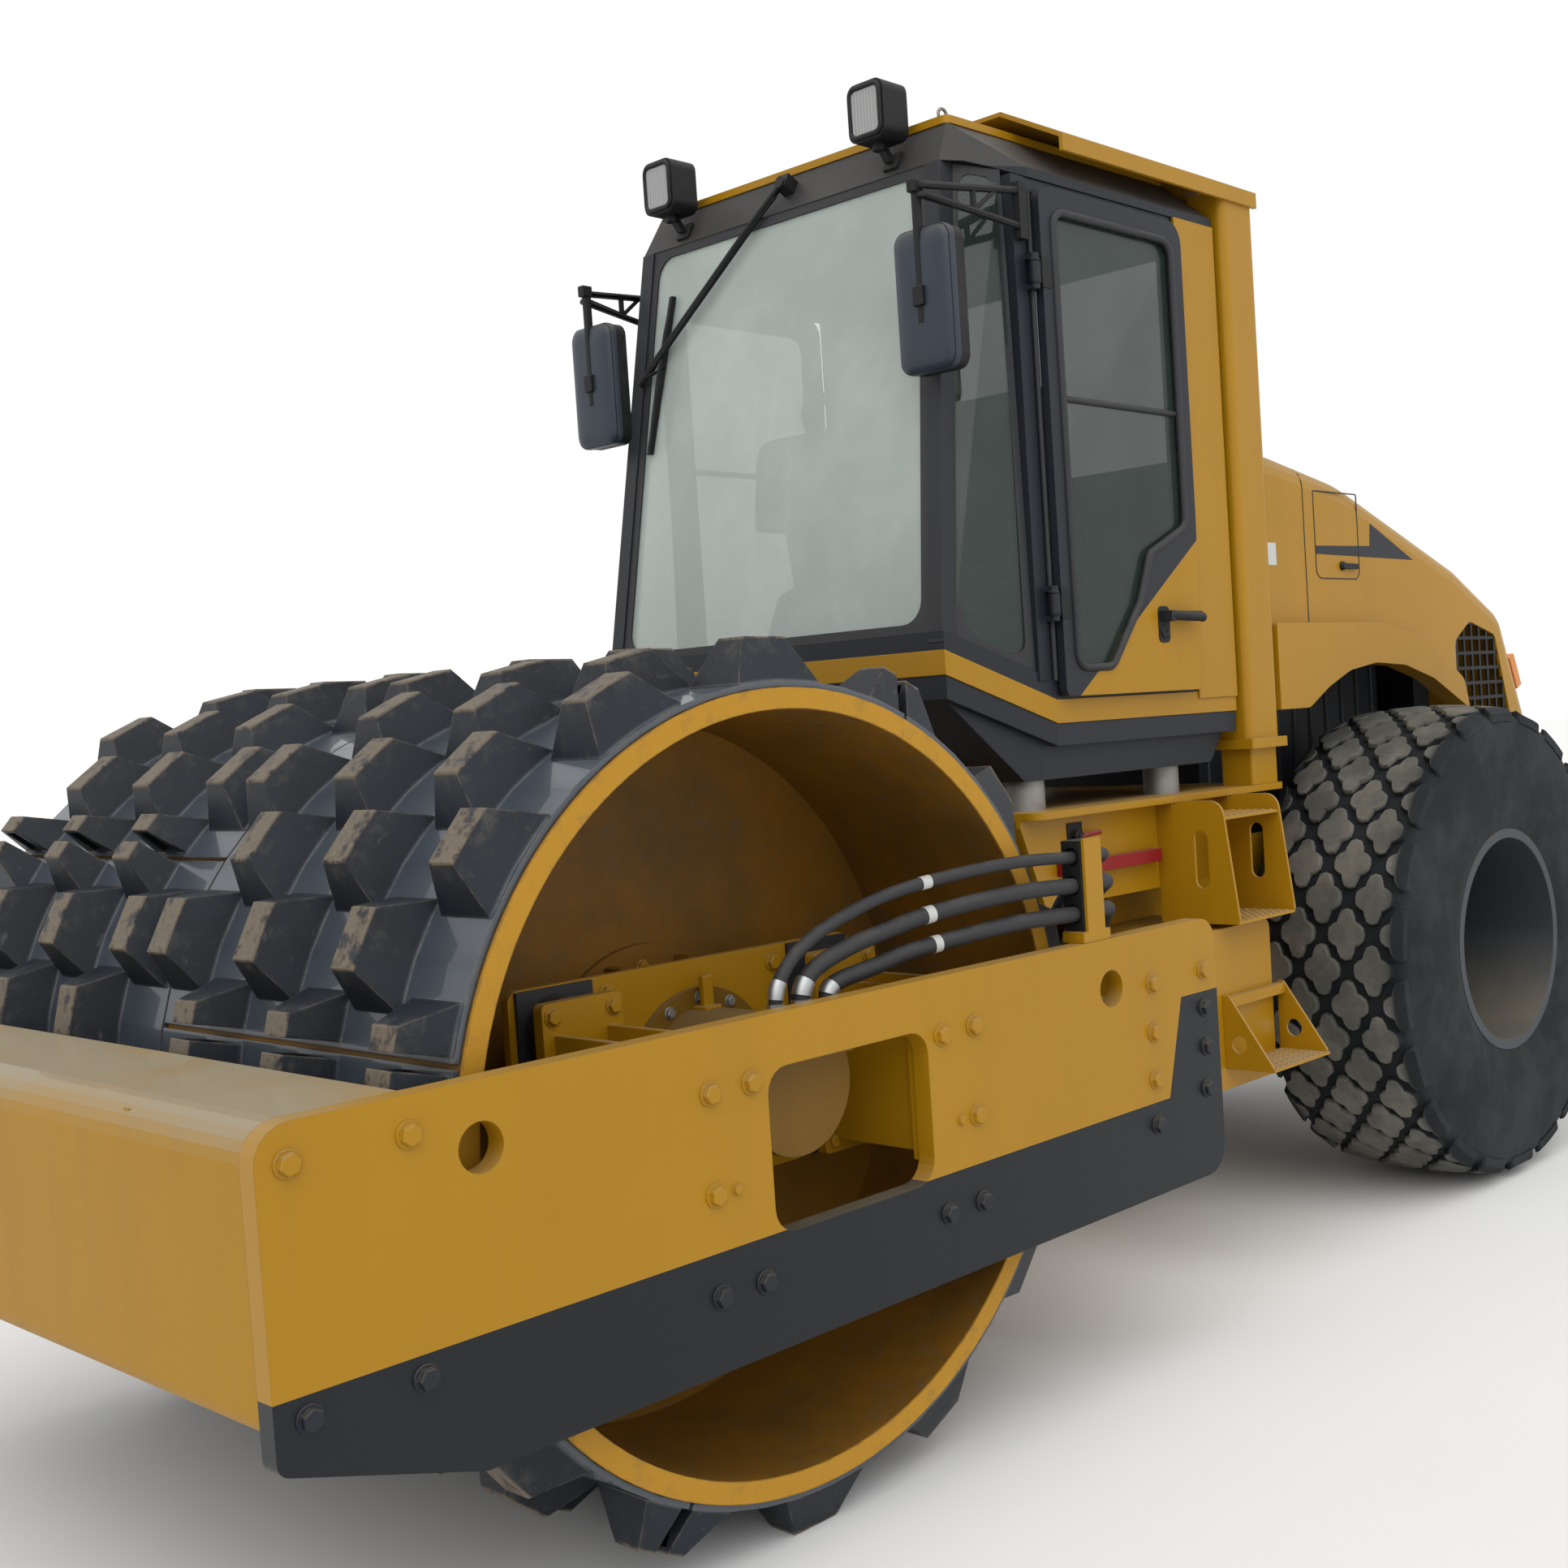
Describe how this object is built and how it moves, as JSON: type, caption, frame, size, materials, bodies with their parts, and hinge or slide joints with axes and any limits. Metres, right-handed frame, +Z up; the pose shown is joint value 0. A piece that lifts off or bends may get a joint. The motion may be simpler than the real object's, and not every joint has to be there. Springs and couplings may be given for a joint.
{
  "type": "vibratory roller",
  "caption": "Articulated single-drum soil compactor with a padfoot drum in a plate frame, glazed cab, rollover frame, sloping hood and two diamond-tread tyres.",
  "frame": {"origin": "on the ground under the middle of the machine", "axes": "front faces -Y, +X is the left side of the machine, +Z is up"},
  "size_m": [2.3, 5.714, 3.2755],
  "materials": {
    "yellow": "semi-gloss",
    "slate": "satin",
    "black": "matte",
    "rubber": "matte",
    "tyre": "matte",
    "steel": "brushed",
    "glass": "clear",
    "orange": "gloss",
    "red": "semi-gloss",
    "fabric": "woven"
  },
  "bodies": {
    "rear_unit": {"rear_frame": "yellow", "side_tanks": "yellow", "steps": "yellow", "lock_bar": "red", "rear_axle": "slate", "engine_block": "slate", "rear_bumper": "slate", "isolators": "steel", "cab_tub": "slate", "cab_belt": "yellow", "cab_frame": "slate", "cab_roof": "slate", "roof_edge": "yellow", "windshield": "glass", "corner_glass": "glass", "rear_glass": "glass", "seat": "fabric", "console": "slate", "wiper": "black", "mirrors": "black", "work_lights": "black", "rollover_frame": "yellow"},
    "joint_casting": {"centre_joint": "slate"},
    "front_unit": {"side_plate_left": "yellow", "side_plate_right": "yellow", "front_beam": "yellow", "rear_crossbeam": "yellow", "drum_carriers": "yellow", "rubber_mounts": "rubber", "drum_drives": "slate", "hose_clamp": "black", "hoses": "rubber", "clamp_bracket": "yellow"},
    "drum": {"drum_shell": "yellow", "padfoot_shells_left": "slate", "padfoot_shells_right": "slate"},
    "wheel_left": {"tyre_left": "tyre", "rim_left": "slate"},
    "wheel_right": {"tyre_right": "tyre", "rim_right": "slate"},
    "barrel_left": {"cylinder_barrel_left": "yellow"},
    "barrel_right": {"cylinder_barrel_right": "yellow"},
    "rod_left": {"cylinder_rod_left": "steel"},
    "rod_right": {"cylinder_rod_right": "steel"},
    "hood": {"hood": "yellow", "hood_grilles": "black", "tail_lamps": "orange"},
    "door_left": {"door_left": "slate", "door_glass_left": "glass"},
    "door_right": {"door_right": "slate", "door_glass_right": "glass"}
  },
  "joints": [
    {"name": "steering", "type": "hinge", "parent": "rear_unit", "child": "joint_casting", "pos_m": [0, -0.023, 0.72], "axis": [0, 0, 1], "range_deg": [-33, 33]},
    {"name": "oscillation", "type": "hinge", "parent": "joint_casting", "child": "front_unit", "pos_m": [0, -0.463, 0.72], "axis": [0, 1, 0], "range_deg": [-10, 10]},
    {"name": "drum_spin", "type": "hinge", "parent": "front_unit", "child": "drum", "pos_m": [0, -1.663, 0.904], "axis": [1, 0, 0], "continuous": true},
    {"name": "wheel_left_spin", "type": "hinge", "parent": "rear_unit", "child": "wheel_left", "pos_m": [0.83, 1.477, 0.78], "axis": [1, 0, 0], "continuous": true},
    {"name": "wheel_right_spin", "type": "hinge", "parent": "rear_unit", "child": "wheel_right", "pos_m": [-0.83, 1.477, 0.78], "axis": [1, 0, 0], "continuous": true},
    {"name": "hood_tilt", "type": "hinge", "parent": "rear_unit", "child": "hood", "pos_m": [0, 2.622, 1.215], "axis": [-1, 0, 0], "range_deg": [0, 50]},
    {"name": "door_left_swing", "type": "hinge", "parent": "rear_unit", "child": "door_left", "pos_m": [0.746, -0.387, 2.3], "axis": [0, 0, -1], "range_deg": [0, 85]},
    {"name": "door_right_swing", "type": "hinge", "parent": "rear_unit", "child": "door_right", "pos_m": [-0.746, -0.387, 2.3], "axis": [0, 0, 1], "range_deg": [0, 85]},
    {"name": "barrel_left_turn", "type": "hinge", "parent": "rear_unit", "child": "barrel_left", "pos_m": [0.36, 0.517, 0.765], "axis": [0, 0, 1], "range_deg": [-8, 8]},
    {"name": "rod_left_slide", "type": "slide", "parent": "barrel_left", "child": "rod_left", "axis": [-0.2747, -0.9615, 0], "range_m": [-0.12, 0.12]},
    {"name": "barrel_right_turn", "type": "hinge", "parent": "rear_unit", "child": "barrel_right", "pos_m": [-0.36, 0.517, 0.765], "axis": [0, 0, 1], "range_deg": [-8, 8]},
    {"name": "rod_right_slide", "type": "slide", "parent": "barrel_right", "child": "rod_right", "axis": [0.2747, -0.9615, 0], "range_m": [-0.12, 0.12]}
  ],
  "couplings": [
    {"joint": "barrel_left_turn", "follows": "steering", "ratio": -0.077},
    {"joint": "rod_left_slide", "follows": "steering", "m_per_rad": -0.185},
    {"joint": "barrel_right_turn", "follows": "steering", "ratio": -0.077},
    {"joint": "rod_right_slide", "follows": "steering", "m_per_rad": 0.185}
  ]
}
